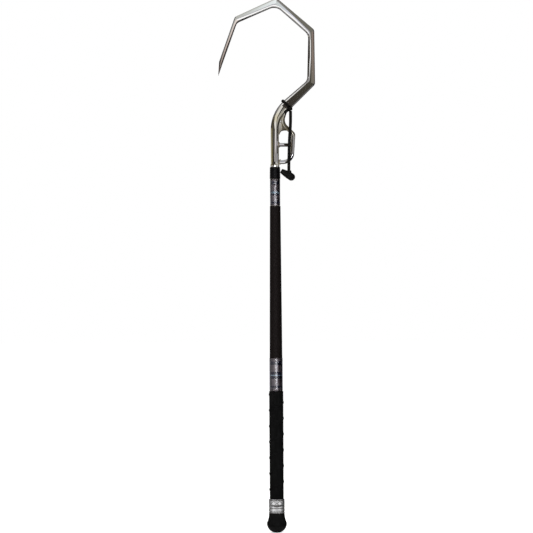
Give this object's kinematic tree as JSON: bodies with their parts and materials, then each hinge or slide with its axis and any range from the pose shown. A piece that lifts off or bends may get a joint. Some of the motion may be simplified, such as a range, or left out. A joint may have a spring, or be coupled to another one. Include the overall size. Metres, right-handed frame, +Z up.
{
  "type": "fishing gaff",
  "caption": "Long-handled hand gaff: bent steel hook with a side loop and a hanging point guard, on a tapered pole with thread wraps, ribbed grip and rubber butt.",
  "frame": {"origin": "centre of the small flat under the rubber butt cap, on the axis of the pole", "axes": "+Z up the pole towards the hook, -X towards the hook's point and +X towards the side loop, both in the plane of the hook, and -Y towards the viewer of the front"},
  "size_m": [0.2179, 0.0448, 1.2004],
  "materials": {
    "hook_steel": "mirror-polished stainless steel bar",
    "glass_fibre": "bare glass-fibre tube, hidden",
    "shrink_tube": "glossy black heat-shrink tube",
    "black_blank": "satin black lacquer on glass fibre",
    "silver_thread": "silver metallic thread under clear epoxy",
    "navy_thread": "navy thread under clear epoxy",
    "ice_blue_thread": "pale blue thread under clear epoxy",
    "grip_rubber": "matt black shrink rubber with a wound rib",
    "turned_aluminium": "bright turned aluminium with two grooves and a knurled band",
    "cork": "cork, hidden",
    "butt_rubber": "moulded black rubber",
    "elastic_cord": "black elastic cord with a fine sheath",
    "guard_rubber": "soft moulded black rubber"
  },
  "bodies": {
    "root": {"hook": "hook_steel", "side_loop": "hook_steel", "loop_crossbar": "hook_steel", "loop_gusset": "hook_steel", "shank_ring": "hook_steel", "tang_pin_upper": "hook_steel", "tang_pin_lower": "hook_steel", "neck_tube": "glass_fibre", "collar": "shrink_tube", "upper_underwrap": "silver_thread", "upper_navy_band_1": "navy_thread", "upper_silver_band_1": "silver_thread", "upper_navy_band_2": "navy_thread", "upper_blue_band_1": "ice_blue_thread", "upper_navy_band_3": "navy_thread", "upper_silver_band_2": "silver_thread", "upper_navy_band_4": "navy_thread", "blank": "black_blank", "lower_underwrap": "silver_thread", "lower_navy_band_1": "navy_thread", "lower_silver_band_1": "silver_thread", "lower_navy_band_2": "navy_thread", "lower_blue_band_1": "ice_blue_thread", "lower_navy_band_3": "navy_thread", "lower_silver_band_2": "silver_thread", "lower_navy_band_4": "navy_thread", "grip_sleeve": "grip_rubber", "grip_rib": "grip_rubber", "butt_ring": "turned_aluminium", "butt_plug": "cork", "butt_cap": "butt_rubber", "lashing": "elastic_cord"},
    "knot": {"tether_knot": "elastic_cord"},
    "tether": {"tether_cord": "elastic_cord"},
    "guard": {"point_guard": "guard_rubber"}
  },
  "joints": [
    {"name": "tether_lift", "type": "hinge", "parent": "root", "child": "knot", "pos_m": [0.0352, -0.0128, 0.9528], "axis": [-1, 0, 0], "range_deg": [0, 100]},
    {"name": "tether_swing", "type": "hinge", "parent": "knot", "child": "tether", "pos_m": [0.0352, -0.0128, 0.9528], "axis": [0, -1, 0], "range_deg": [0, 110]},
    {"name": "guard_tilt", "type": "hinge", "parent": "tether", "child": "guard", "pos_m": [0.031, -0.012, 0.8122], "axis": [0, 1, 0], "range_deg": [-15, 15]}
  ]
}
